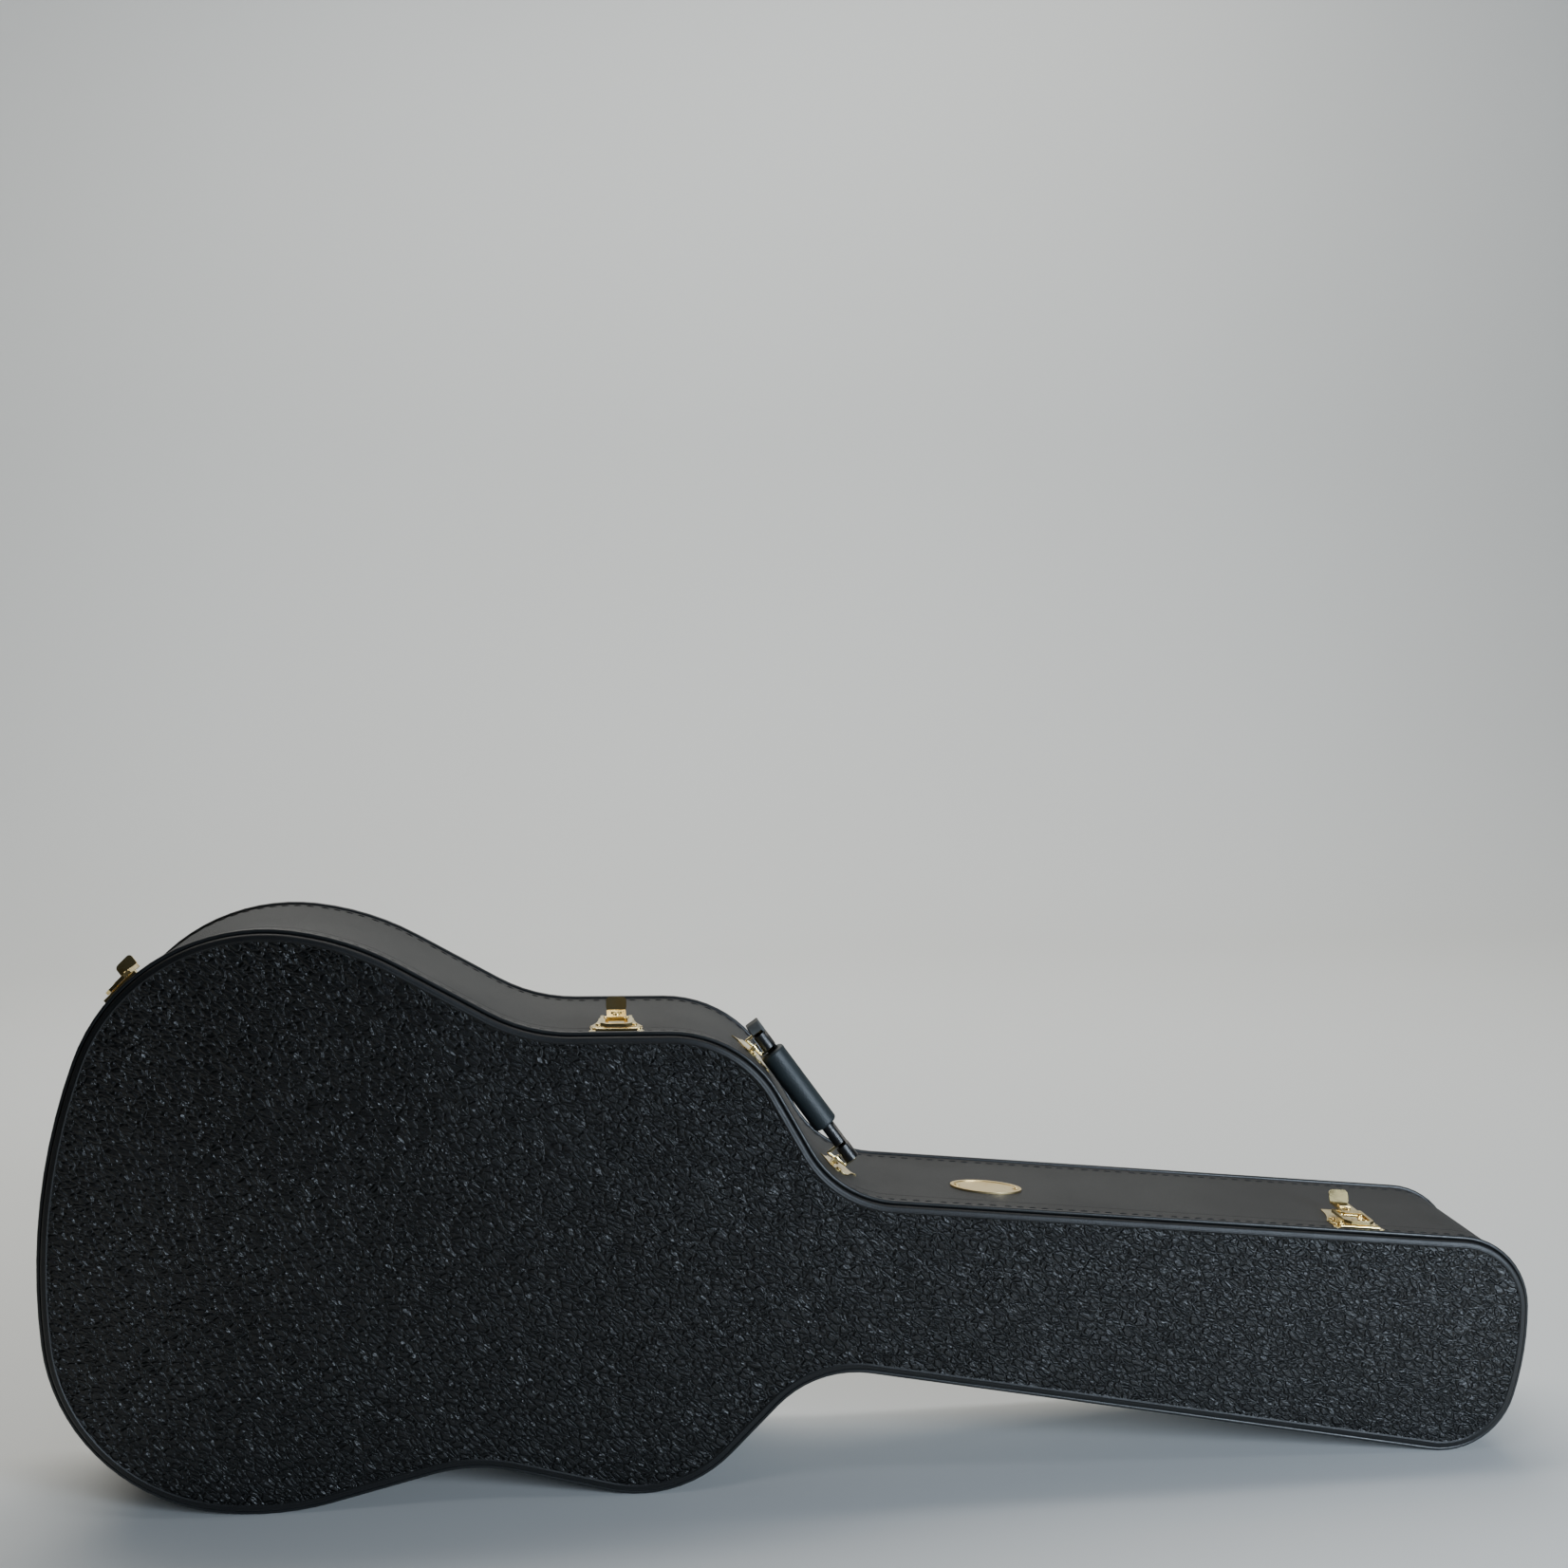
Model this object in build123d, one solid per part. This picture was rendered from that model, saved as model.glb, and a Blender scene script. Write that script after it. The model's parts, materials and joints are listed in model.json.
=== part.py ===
from build123d import *
import os
from math import acos, atan2, cos, degrees, hypot, radians, sin, sqrt

# A hard-shell case for an acoustic guitar, in millimetres.
#
# Every piece is drawn on the bench: the case lies on its back with the lid up.
# x runs along the centre line from the butt (0) to the headstock end, y is across
# and positive on the latch side, and z is the height from the case's back.
# The finished pieces are then stood on the hinge edge, lid facing -Y.

# ---------------------------------------------------------------- outline
case_length = 1090.0
lower_half, lower_station = 209.0, 146.0     # half width and station of the lower bout
butt_corner_r, lower_flank_r = 138.0, 205.0
waist_half, waist_station, waist_r = 158.5, 336.0, 127.0
upper_station, upper_r = 430.0, 90.0         # its half width follows from the hinge line
neck_half, neck_station, neck_r = 62.0, 595.0, 80.0
head_half, head_r = 80.0, 54.0
head_setback = 56.0             # corner centres of the headstock end, from the end
head_station = case_length - head_setback

# ---------------------------------------------------------------- shell
case_depth = 143.0
crown = 2.8            # rounded shoulder of each covered face
bead_r = 1.6           # piping
panel_t = 4.0          # plywood faces
wall_t = 5.0           # bent plywood sides
vinyl_t = 1.2          # covering of the faces
skin_t = 1.0           # covering of the sides
skin_out = 1.2         # outer surface of the side covering, outside the groove line
welt_t = 0.8           # flat flange of the piping
lid_height = 22.0      # from the front groove to the seam
seam_gap = 0.5
lip_t, lip_up, lip_down, lip_clear = 3.5, 6.0, 16.0, 0.6

# ---------------------------------------------------------------- padding
floor_pad_t, lid_pad_t = 8.0, 10.0
bolster_t, bolster_end = 19.0, 500.0
pad_gap = 0.3
cradle_station, cradle_t, cradle_top = 590.0, 28.0, 78.0
neck_channel = 66.0
pocket_length, pocket_top, pocket_lid_t = 180.0, 60.0, 5.0
partition_t = 6.0
pocket_edge = 12.0     # width of the fixed ledge beside the pocket lid
tab_length, tab_width, tab_t, tab_edge = 30.0, 14.0, 1.2, 32.0
head_pad_top, head_pad_gap = 42.0, 8.0

# ---------------------------------------------------------------- hinges
hinge_widths = {"lower": 42.0, "upper": 36.0, "head": 28.0}
knuckle_r, hinge_pin_r, hinge_fit = 1.8, 0.8, 0.05
leaf_t, body_leaf_h, lid_leaf_h = 1.0, 20.0, 14.0
knuckle_gap, notch_clear = 0.25, 0.35
rivet_r, rivet_head_t, rivet_seat = 2.2, 0.9, 0.06
rivet_spread = 0.31    # of a leaf's width, from its middle to each rivet

# ---------------------------------------------------------------- latches
latch_stations = {"butt": 36.0, "waist": 382.0, "head": 953.0}
plate_t = 1.0
keeper_w, keeper_front = 42.0, 6.6    # its front edge lies this far behind the groove
lip_roll_r, lip_ahead = 1.5, 0.6      # rolled lip, and how far its centre is behind that edge
lip_inset = 12.0                      # the lip is this much narrower than its plate
base_w, base_tail_w, base_l = 40.0, 26.0, 32.0
keeper_rivets = [(-15.5, -6.0), (15.5, -6.0)]
base_rivets = [(-13.0, 8.0), (13.0, 8.0), (0.0, 28.0)]
lever_w, lever_l, lever_t = 14.0, 26.0, 1.2
pivot_v, pivot_h, pivot_r = 5.0, 5.2, 1.2
ear_t, ear_gap, ear_r = 1.0, 0.25, 2.6
loop_arm, loop_w, loop_wire = 8.0, 23.0, 2.4
loop_pin_r, running_fit = 0.9, 0.06
finger_tab_h, finger_tab_w, finger_tab_lean = 8.5, 15.0, 62.0

# ---------------------------------------------------------------- handle
handle_start = (488.2, 166.0)    # handle axis beside the upper ring, across and along
handle_angle = -46.5             # its slope to the centre line
tail_l, boss_l, core_l, grip_start, grip_l = 8.6, 15.5, 122.0, 17.2, 70.5
tail_low, tail_high = -4.6, 5.8  # sheared end of the strap, below and above the handle's axis
grip_r, core_r, boss_r = 9.6, 5.6, 6.0
grip_edge_r, core_flat, boss_flat = 2.2, 1.2, 1.1
ring_wire_r, saddle_t, saddle_l = 1.1, 0.9, 3.0
handle_z = 84.0                  # height of the handle's axis above the case's back
handle_plate_w = 28.0            # across the side of the case
handle_plate_l = {"upper": 40.0, "lower": 32.0}
ring_rise = 2.4                  # the rings' top bars lie this far outside the handle's axis
ring_hole_fit = 0.75             # room for a leaning foot bar in its plate's bridge
foot_h = 2.9                     # height of a foot bar above its plate
leg_slot_half = 28.0             # room for the handle to turn about its rings

# ---------------------------------------------------------------- nameplate
badge_station, badge_l, badge_w, badge_t = 677.0, 55.0, 32.0, 1.6
badge_z = 84.0

# ---------------------------------------------------------------- worked out
lower_centre = (lower_station, lower_half - lower_flank_r)
head_centre = (head_station, head_half - head_r)
span = (head_centre[0] - lower_centre[0], head_centre[1] - lower_centre[1])
# The straight line that touches the lower bout and the headstock carries the hinges,
# and the upper bout is as wide as it takes to touch the same line.
tilt = radians(90) - atan2(span[1], span[0]) - acos((lower_flank_r - head_r) / hypot(*span))
line_h = lower_centre[0] * sin(tilt) + lower_centre[1] * cos(tilt) + lower_flank_r
upper_y = (line_h - upper_r - upper_station * sin(tilt)) / cos(tilt)
butt_y = lower_half - butt_corner_r
butt_r = (lower_station**2 + butt_y**2 - butt_corner_r**2) / (2 * (lower_station - butt_corner_r))
end_run = case_length - head_station
end_r = (end_run**2 + head_centre[1] ** 2 - head_r**2) / (2 * (end_run - head_r))

face_t = vinyl_t + panel_t
seam_z = case_depth - crown - lid_height
wall_in = wall_t - (skin_out - skin_t)        # plywood's inner face, inside the groove line
wall_foot = face_t + welt_t                   # where the sides stand on the piping's flange
lid_wall_top = case_depth - wall_foot
lip_in = wall_in + lip_t


def across(angle):
    """Unit vector at an angle from the centre line."""
    return (cos(angle), sin(angle))


def crossing_tangent(centre_a, r_a, centre_b, r_b, side):
    """Angle of the normal, at circle a, of the line that runs between two circles."""
    dx, dy = centre_b[0] - centre_a[0], centre_b[1] - centre_a[1]
    return atan2(dy, dx) + side * acos((r_a + r_b) / hypot(dx, dy))


def upper_arcs():
    """The arcs of one half of the outline, from the butt to the headstock end.

    Each is (centre, radius, sign, start, end): sign is +1 where it bulges and -1 where it is hollow.
    """
    quarter, half_turn = radians(90), radians(180)
    butt = (butt_r, 0)
    corner = (lower_station, butt_y)
    waist = (waist_station, waist_half + waist_r)
    upper = (upper_station, upper_y)
    neck = (neck_station, neck_half + neck_r)
    end = (case_length - end_r, 0)
    butt_join = atan2(corner[1] - butt[1], corner[0] - butt[0])
    flank = crossing_tangent(lower_centre, lower_flank_r, waist, waist_r, 1)
    rise = crossing_tangent(waist, waist_r, upper, upper_r, -1)
    shoulder = crossing_tangent(upper, upper_r, neck, neck_r, 1)
    side = crossing_tangent(neck, neck_r, head_centre, head_r, -1)
    end_join = atan2(head_centre[1] - end[1], head_centre[0] - end[0])
    return [
        (butt, butt_r, 1, half_turn, butt_join),
        (corner, butt_corner_r, 1, butt_join, quarter),
        (lower_centre, lower_flank_r, 1, quarter, flank),
        (waist, waist_r, -1, flank - half_turn, rise),
        (upper, upper_r, 1, rise + half_turn, shoulder),
        (neck, neck_r, -1, shoulder - half_turn, side),
        (head_centre, head_r, 1, side + half_turn, end_join),
        (end, end_r, 1, end_join, 0.0),
    ]


arcs = upper_arcs()


def outline_wire(offset):
    """The closed outline, moved outwards by offset: its arcs keep their centres."""
    half = []
    last = None
    for centre, radius, sign, start, end in arcs:
        r = radius + sign * offset
        points = []
        for share in (0, 0.5, 1):
            ux, uy = across(start + share * (end - start))
            points.append((centre[0] + r * ux, centre[1] + r * uy))
        if last and hypot(points[0][0] - last[0], points[0][1] - last[1]) > 1e-4:
            half.append([last, points[0]])
        half.append(points)
        last = points[2]
    half[0][0] = (half[0][0][0], 0)
    half[-1][-1] = (half[-1][-1][0], 0)
    edges = []
    for points in half + [[(x, -y) for x, y in points] for points in half]:
        edges.append(Line(*points) if len(points) == 2 else ThreePointArc(*points))
    return Wire(edges)


def slab(offset, low, high):
    """The outline as a solid between two heights."""
    return Pos(0, 0, low) * extrude(make_face(outline_wire(offset)), amount=high - low)


def ring(outer, inner, low, high):
    return slab(outer, low, high) - slab(inner, low, high)


def block(x0, x1, y0, y1, z0, z1):
    """A plain box between two corners."""
    size = (x1 - x0, y1 - y0, z1 - z0)
    return Pos((x0 + x1) / 2, (y0 + y1) / 2, (z0 + z1) / 2) * Box(*size)


far = 2 * case_length


def latch_side(piece):
    return piece & block(-far, far, 0, far, -far, far)


def hinge_side(piece):
    return piece & block(-far, far, -far, 0, -far, far)


def edge_at(station, offset):
    """Point and outward direction on the latch side of the outline."""
    low_x = None
    for centre, radius, sign, start, end in arcs:
        r = radius + sign * offset
        (ax, ay), (bx, by) = across(start), across(end)
        first = (centre[0] + r * ax, centre[1] + r * ay)
        final = (centre[0] + r * bx, centre[1] + r * by)
        if low_x and low_x[0] <= station < first[0]:
            share = (station - low_x[0]) / (first[0] - low_x[0])
            y = low_x[1] + share * (first[1] - low_x[1])
            run = hypot(first[0] - low_x[0], first[1] - low_x[1])
            return (station, y), ((low_x[1] - first[1]) / run, (first[0] - low_x[0]) / run)
        if first[0] <= station <= final[0]:
            y = centre[1] + sign * sqrt(r**2 - (station - centre[0]) ** 2)
            return (station, y), (sign * (station - centre[0]) / r, sign * (y - centre[1]) / r)
        low_x = final


def side_frame(point, outward, height):
    """Frame on the side of the case: x along it, y towards the case's back, z outwards."""
    return Plane(
        origin=(point[0], point[1], height),
        x_dir=(outward[1], -outward[0], 0),
        z_dir=(outward[0], outward[1], 0),
    )


def rivet(x, y, base, head_r=rivet_r):
    """A domed rivet head that stands on a surface at height base."""
    head = Pos(x, y, base) * Cylinder(head_r, rivet_head_t, align=(Align.CENTER, Align.CENTER, Align.MIN))
    return fillet(head.edges().group_by(Axis.Z)[-1], rivet_head_t * 0.7)


def together(solids):
    """Separate solids that share a node."""
    found = []
    for piece in solids:
        found += list(piece.solids())
    return Compound(found)


# ---------------------------------------------------------------- shell pieces
def face_cover():
    """Covering of the lid's face: a shallow cap with a rounded shoulder over the panel."""
    cap = slab(-0.1, case_depth - face_t, case_depth)
    cap = fillet(cap.edges().group_by(Axis.Z)[-1], crown)
    return cap - slab(-0.1 - vinyl_t, 0, case_depth - vinyl_t)


def face_panel():
    return slab(-0.1 - vinyl_t, case_depth - face_t, case_depth - vinyl_t)


def piping():
    """Round piping outside the groove, with its flange between the panel and the sides."""
    centre_z = case_depth - wall_foot + bead_r
    path = outline_wire(bead_r)
    profile = Plane(origin=(-bead_r, 0, centre_z), x_dir=(1, 0, 0), z_dir=(0, 1, 0)) * Circle(bead_r)
    bead = sweep(profile, path=Pos(0, 0, centre_z) * path)
    return bead + ring(bead_r, -wall_in + 0.2, lid_wall_top, lid_wall_top + welt_t)


def to_back(piece):
    """The matching piece on the other face."""
    return mirror(piece, Plane(origin=(0, 0, case_depth / 2), z_dir=(0, 0, 1)))


def lid_band(outer, inner):
    return ring(outer, inner, seam_z + seam_gap / 2, lid_wall_top) - knuckle_notches()


def body_band(outer, inner):
    return ring(outer, inner, wall_foot, seam_z - seam_gap / 2) - knuckle_notches()


def alignment_lip():
    """Thin strip inside the body's walls that stands up into the lid."""
    low = ring(-wall_in, -lip_in, seam_z - lip_down, seam_z - seam_gap)
    high = ring(-wall_in - lip_clear, -lip_in, seam_z - lip_down, seam_z + lip_up)
    return low + high


# ---------------------------------------------------------------- hinges
# The three hinges share one axis, along the line that touches all three bouts.
hinge_feet = {"lower": lower_centre, "upper": (upper_station, upper_y), "head": head_centre}
hinge_arc_r = {"lower": lower_flank_r, "upper": upper_r, "head": head_r}
hinge_lift = 0.15       # how far the hinge line stands clear of the side covering
hinge_line_out = skin_out + hinge_lift


def hinge_frame(which):
    """Frame at a hinge, on the axis: x along it, y towards the case's back, z outwards."""
    centre, r = hinge_feet[which], hinge_arc_r[which] + hinge_line_out
    point = (centre[0] + r * sin(tilt), -centre[1] - r * cos(tilt))
    return side_frame(point, (sin(tilt), -cos(tilt)), seam_z)


def along(frame, radius, length, shift=0.0):
    """Cylinder along a hinge frame's axis."""
    return frame * Pos(shift, 0, 0) * Rot(0, 90, 0) * Cylinder(radius, length)


def knuckle_notches():
    cuts = None
    for which, width in hinge_widths.items():
        cut = along(hinge_frame(which), knuckle_r + notch_clear, width + 2.0)
        cuts = cut if cuts is None else cuts + cut
    return cuts


def hinge_leaf(which, on_lid):
    """A leaf bent to the side of the case, with its knuckles; the lid has the middle one."""
    frame, width = hinge_frame(which), hinge_widths[which]
    third = width / 3
    clear = knuckle_r + notch_clear
    low, high = (-lid_leaf_h, -clear) if on_lid else (clear, body_leaf_h)
    spots = [0.0] if on_lid else [-third, third]
    span_x = third - knuckle_gap if on_lid else third - knuckle_gap / 2
    band = ring(skin_out + leaf_t, skin_out, seam_z - body_leaf_h, seam_z + lid_leaf_h)
    leaf = band & (frame * block(-width / 2, width / 2, low, high, -wall_t, wall_t))
    sag = hinge_arc_r[which] - sqrt(hinge_arc_r[which] ** 2 - (width / 2) ** 2)
    for x in spots:
        leaf += along(frame, knuckle_r, span_x, x)
        reach = (-clear - 1.5, 0) if on_lid else (0, clear + 1.5)
        web_low = -hinge_lift - min(sag, 0.6)
        web = frame * block(x - span_x / 2, x + span_x / 2, *reach, web_low, leaf_t - hinge_lift)
        leaf += web - slab(skin_out, 0, case_depth)
    bore = hinge_pin_r + (hinge_fit if on_lid else 0.0)
    return leaf - along(frame, bore, width + 4)


def hinge_pin(which):
    return along(hinge_frame(which), hinge_pin_r, hinge_widths[which])


def hinge_rivets(on_lid):
    """Two rivet heads on each leaf, square to the side they hold."""
    heads = []
    for which, width in hinge_widths.items():
        centre, r = hinge_feet[which], hinge_arc_r[which] + skin_out + leaf_t
        v = -(lid_leaf_h + knuckle_r) / 2 if on_lid else (body_leaf_h + knuckle_r) / 2
        for side in (-1, 1):
            turn = side * width * rivet_spread / r
            direction = (sin(tilt + turn), -cos(tilt + turn))
            point = (centre[0] + r * direction[0], -centre[1] + r * direction[1])
            heads.append(side_frame(point, direction, seam_z - v) * rivet(0, 0, rivet_seat))
    return together(heads)


# ---------------------------------------------------------------- latches
def latch_frame(which):
    return side_frame(*edge_at(latch_stations[which], skin_out), seam_z)


def trapezium(w_front, w_back, front, back, low, high):
    """A plate that narrows towards its tail, with hollowed flanks."""
    half, tail = w_front / 2, w_back / 2
    mid = (front + back) / 2
    with BuildSketch() as plate:
        with BuildLine():
            Line((-half, front), (half, front))
            Spline((half, front), ((half + tail) / 2 - 2.2, mid), (tail, back))
            Line((tail, back), (-tail, back))
            Spline((-tail, back), (-(half + tail) / 2 + 2.2, mid), (-half, front))
        make_face()
        fillet(plate.vertices(), 1.5)
    return Pos(0, 0, low) * extrude(plate.sketch, amount=high - low)


def side_plate(frame, shape, thickness):
    """A flat shape bent to the side of the case: the part of its prism inside a thin skin."""
    return (frame * shape) & ring(skin_out + thickness, skin_out, 1, case_depth - 1)


def latch_keeper(which):
    """Plate on the lid whose front edge is rolled into a lip for the loop."""
    frame = latch_frame(which)
    shape = trapezium(keeper_w, base_w, keeper_front - lid_height, -1.0, -5, 8)
    plate = side_plate(frame, shape, plate_t)
    v = keeper_front + lip_ahead - lid_height
    width = keeper_w - lip_inset
    roll = Pos(0, v, plate_t + lip_roll_r - 0.4) * Rot(0, 90, 0) * Cylinder(lip_roll_r, width)
    foot = block(-width / 2, width / 2, v - lip_ahead, v + 0.8, 0.3, plate_t + 1.2)
    return plate + (frame * (roll + foot) - slab(skin_out, 0, case_depth))


def latch_base(which):
    """Plate on the body with two ears for the lever's pivot."""
    frame = latch_frame(which)
    plate = side_plate(frame, trapezium(base_w, base_tail_w, 1.0, base_l, -5, 8), plate_t)
    offset = lever_w / 2 + ear_gap
    for side in (-1, 1):
        x0, x1 = sorted((side * offset, side * (offset + ear_t)))
        ear = block(x0, x1, pivot_v - ear_r, pivot_v + ear_r, 0.2, pivot_h)
        ear += Pos((x0 + x1) / 2, pivot_v, pivot_h) * Rot(0, 90, 0) * Cylinder(ear_r, ear_t)
        ear -= Pos(0, pivot_v, pivot_h) * Rot(0, 90, 0) * Cylinder(pivot_r, 4 * lever_w)
        plate += frame * ear - slab(skin_out, 0, case_depth)
    return plate


def latch_pivot(which):
    width = lever_w + 2 * (ear_gap + ear_t)
    return latch_frame(which) * Pos(0, pivot_v, pivot_h) * Rot(0, 90, 0) * Cylinder(pivot_r, width)


def latch_lever(which):
    """Channel that turns on the pivot and carries the loop, with a rib and a turned-up tab."""
    half = lever_w / 2
    top = pivot_h + 2.6
    front, back = pivot_v - 3.0, pivot_v + lever_l
    deck = block(-half, half, front, back, top - lever_t, top)
    deck = fillet(deck.edges().filter_by(Axis.Z), 1.4)
    for side in (-1, 1):
        x0, x1 = sorted((side * half, side * (half - lever_t)))
        cheek_back = pivot_v + loop_arm + 3.0
        deck += block(x0, x1, front + 0.6, cheek_back, pivot_h - 2.2, top - lever_t / 2)
    rib = block(-half + 3, half - 3, pivot_v + 11.5, pivot_v + 17.0, top - 0.2, top + 1.0)
    deck += fillet(rib.edges().group_by(Axis.Z)[-1], 0.5)
    tab_shape = Pos(0, finger_tab_h / 2) * RectangleRounded(finger_tab_w, finger_tab_h + 2.4, 3.2)
    tab = Pos(0, back - 1.2, top - 0.2) * Rot(finger_tab_lean, 0, 0) * extrude(tab_shape, amount=lever_t)
    deck += tab
    for v, r in ((pivot_v, pivot_r), (pivot_v + loop_arm, loop_pin_r)):
        deck -= Pos(0, v, pivot_h) * Rot(0, 90, 0) * Cylinder(r + running_fit, 3 * lever_w)
    return latch_frame(which) * deck


def latch_loop(which):
    """Wire loop from the lever over the keeper's lip, with its ends turned into the lever."""
    half = loop_w / 2
    w = loop_wire
    back = pivot_v + loop_arm
    front = keeper_front + lip_ahead - lid_height - w / 2
    z = plate_t + 2 * lip_roll_r + 0.15 + w / 2
    corner = 4.5
    outer = Polyline(
        (-half, back), (-half, front + corner), (-half + corner, front), (half - corner, front),
        (half, front + corner), (half, back), (half - w, back), (half - w, front + corner + 0.9),
        (half - corner - 0.9, front + w), (-half + corner + 0.9, front + w),
        (-half + w, front + corner + 0.9), (-half + w, back), close=True,
    )
    loop = Pos(0, 0, z - w / 2) * extrude(make_face(outer), amount=w)
    for side in (-1, 1):
        x0, x1 = sorted((side * half, side * (half - w)))
        loop += block(x0, x1, back - w / 2, back + w / 2, pivot_h - w / 2, z + w / 2)
        y0, y1 = sorted((side * (half - w), side * (lever_w / 2 - lever_t - 0.4)))
        pin = Pos((y0 + y1) / 2, back, pivot_h) * Rot(0, 90, 0)
        loop += pin * Cylinder(loop_pin_r, y1 - y0 + 0.02)
    return latch_frame(which) * loop


def latch_rivets(on_lid):
    heads = []
    for which in latch_stations:
        frame = latch_frame(which)
        for x, v in keeper_rivets if on_lid else base_rivets:
            centre = frame.from_local_coords((x, v, 0))
            local = nearest_surface(centre.X, centre.Y)
            heads.append(side_frame(*local, centre.Z) * rivet(0, 0, plate_t + rivet_seat))
    return together(heads)


def nearest_surface(x, y):
    """Foot, on the latch side's surface, of the normal through a point near it."""
    station = x
    for _ in range(12):
        point, outward = edge_at(station, skin_out)
        slip = (x - point[0]) * outward[1] - (y - point[1]) * outward[0]
        station += slip * outward[1]
    return edge_at(station, skin_out)


# ---------------------------------------------------------------- handle
slope = radians(handle_angle)
handle_dir = (cos(slope), sin(slope))
handle_out = (-sin(slope), cos(slope))


def handle_point(run, rise=0.0):
    """Point in the plane of the case at a run along the handle's axis."""
    x = handle_start[0] + run * handle_dir[0] + rise * handle_out[0]
    y = handle_start[1] + run * handle_dir[1] + rise * handle_out[1]
    return x, y


def handle_frame(run, rise=0.0):
    return side_frame(handle_point(run, rise), handle_out, handle_z)


ring_runs = {"upper": 0.0, "lower": core_l - boss_l}
ring_middle = {which: run + boss_l / 2 for which, run in ring_runs.items()}


def plate_foot(which):
    """Surface point and direction under a ring."""
    return nearest_surface(*handle_point(ring_middle[which]))


def surface_drop(run):
    """Distance from the handle's axis down to the side of the case."""
    x, y = handle_point(run)
    low, high = 0.0, 60.0
    for _ in range(40):
        mid = (low + high) / 2
        px, py = x - mid * handle_out[0], y - mid * handle_out[1]
        (_, sy), _ = edge_at(px, skin_out)
        low, high = (mid, high) if py > sy else (low, mid)
    return low


drops = {which: surface_drop(run) for which, run in ring_middle.items()}
# The handle swings about the line through the middles of the two foot bars.
swing_drop = min(drops.values()) - plate_t - foot_h


def core_rod(middle, length):
    """A round rod along the handle's axis, flattened underneath."""
    rod = Pos(middle, 0, 0) * Rot(0, 90, 0) * Cylinder(core_r, length)
    return rod - block(-boss_l, core_l + boss_l, -20, 20, -20, -core_r + core_flat)


def handle_core():
    """Strap core: tail, boss between each ring's legs and the neck of the strap."""
    frame = handle_frame(0)
    x_cyl = Rot(0, 90, 0)
    core = core_rod(core_l / 2 - ring_wire_r, core_l)
    for run in ring_runs.values():
        core += Pos(run + boss_l / 2, 0, 0) * x_cyl * Cylinder(boss_r, boss_l - 2 * ring_wire_r - 0.6)
    core -= block(-boss_l, core_l + boss_l, -20, 20, -20, -boss_r + boss_flat)
    tail = block(-tail_l, 1.0, -boss_r, boss_r, tail_low, tail_high)
    core += fillet(tail.edges().filter_by(Axis.X), 1.5)
    # The top bars run through the bosses, and their legs lie in slots that are open below and in front.
    for run in ring_runs.values():
        bar = Pos(run + boss_l / 2, 0, ring_rise) * x_cyl * Cylinder(ring_wire_r + running_fit, boss_l + 6)
        core -= bar
        for leg in (run, run + boss_l):
            width = ring_wire_r + 0.3
            room = x_cyl * Cylinder(width, 2 * width)
            for turn in (-1, -0.5, 0, 0.5, 1):
                room += Rot(turn * leg_slot_half, 0, 0) * block(-width, width, -width, width, -20, 0)
            room += block(-width, width, -20, 0, -20, width)
            core -= Pos(leg, 0, ring_rise) * room
    return frame * core


def handle_grip():
    """Moulded grip around the strap core."""
    middle = grip_start + grip_l / 2
    tube = Pos(middle, 0, 0) * Rot(0, 90, 0) * Cylinder(grip_r, grip_l)
    tube = fillet(tube.edges().filter_by(GeomType.CIRCLE), grip_edge_r)
    return handle_frame(0) * (tube - core_rod(middle, grip_l + 4))


def handle_ring(which):
    """Wire ring: top bar in the handle's boss, two legs, and a foot bar that follows the side."""
    run = ring_runs[which]
    legs = [run, run + boss_l]
    fall = (surface_drop(legs[1]) - surface_drop(legs[0])) / 2
    points = [(legs[0], ring_rise), (legs[1], ring_rise)]
    points += [(legs[1], -swing_drop - fall), (legs[0], -swing_drop + fall)]
    wire = None
    for a, b in zip(points, points[1:] + points[:1]):
        length = hypot(b[0] - a[0], b[1] - a[1])
        turn = degrees(atan2(b[1] - a[1], b[0] - a[0]))
        place = Pos((a[0] + b[0]) / 2, 0, (a[1] + b[1]) / 2) * Rot(0, -turn, 0) * Rot(0, 90, 0)
        rod = place * Cylinder(ring_wire_r, length)
        ball = Pos(a[0], 0, a[1]) * Sphere(ring_wire_r)
        wire = rod + ball if wire is None else wire + rod + ball
    return handle_frame(0) * wire


def plate_shape(length, width):
    """A pointed oval plate, with hollows beside its four corners."""
    half, side = length / 2, width / 2
    with BuildSketch() as plate:
        with BuildLine():
            Spline((half, 0), (half * 0.62, side * 0.42), (half * 0.5, side * 0.8), (0, side))
            Spline((0, side), (-half * 0.5, side * 0.8), (-half * 0.62, side * 0.42), (-half, 0))
            Spline((-half, 0), (-half * 0.62, -side * 0.42), (-half * 0.5, -side * 0.8), (0, -side))
            Spline((0, -side), (half * 0.5, -side * 0.8), (half * 0.62, -side * 0.42), (half, 0))
        make_face()
    return Pos(0, 0, -8) * extrude(plate.sketch, amount=16)


def handle_plate(which):
    """Plate bent to the side of the case, with a bridge over the ring's foot bar."""
    foot = side_frame(*plate_foot(which), handle_z)
    plate = side_plate(foot, plate_shape(handle_plate_l[which], handle_plate_w), plate_t)
    frame = handle_frame(ring_middle[which], -swing_drop)
    hole = ring_wire_r + ring_hole_fit
    half = saddle_l / 2
    bridge = block(-half, half, -hole - saddle_t, hole + saddle_t, -12, 0)
    bridge += Rot(0, 90, 0) * Cylinder(hole + saddle_t, saddle_l)
    bridge -= Rot(0, 90, 0) * Cylinder(hole, 2 * saddle_l)
    return plate + (frame * bridge - slab(skin_out, 0, case_depth))


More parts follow.
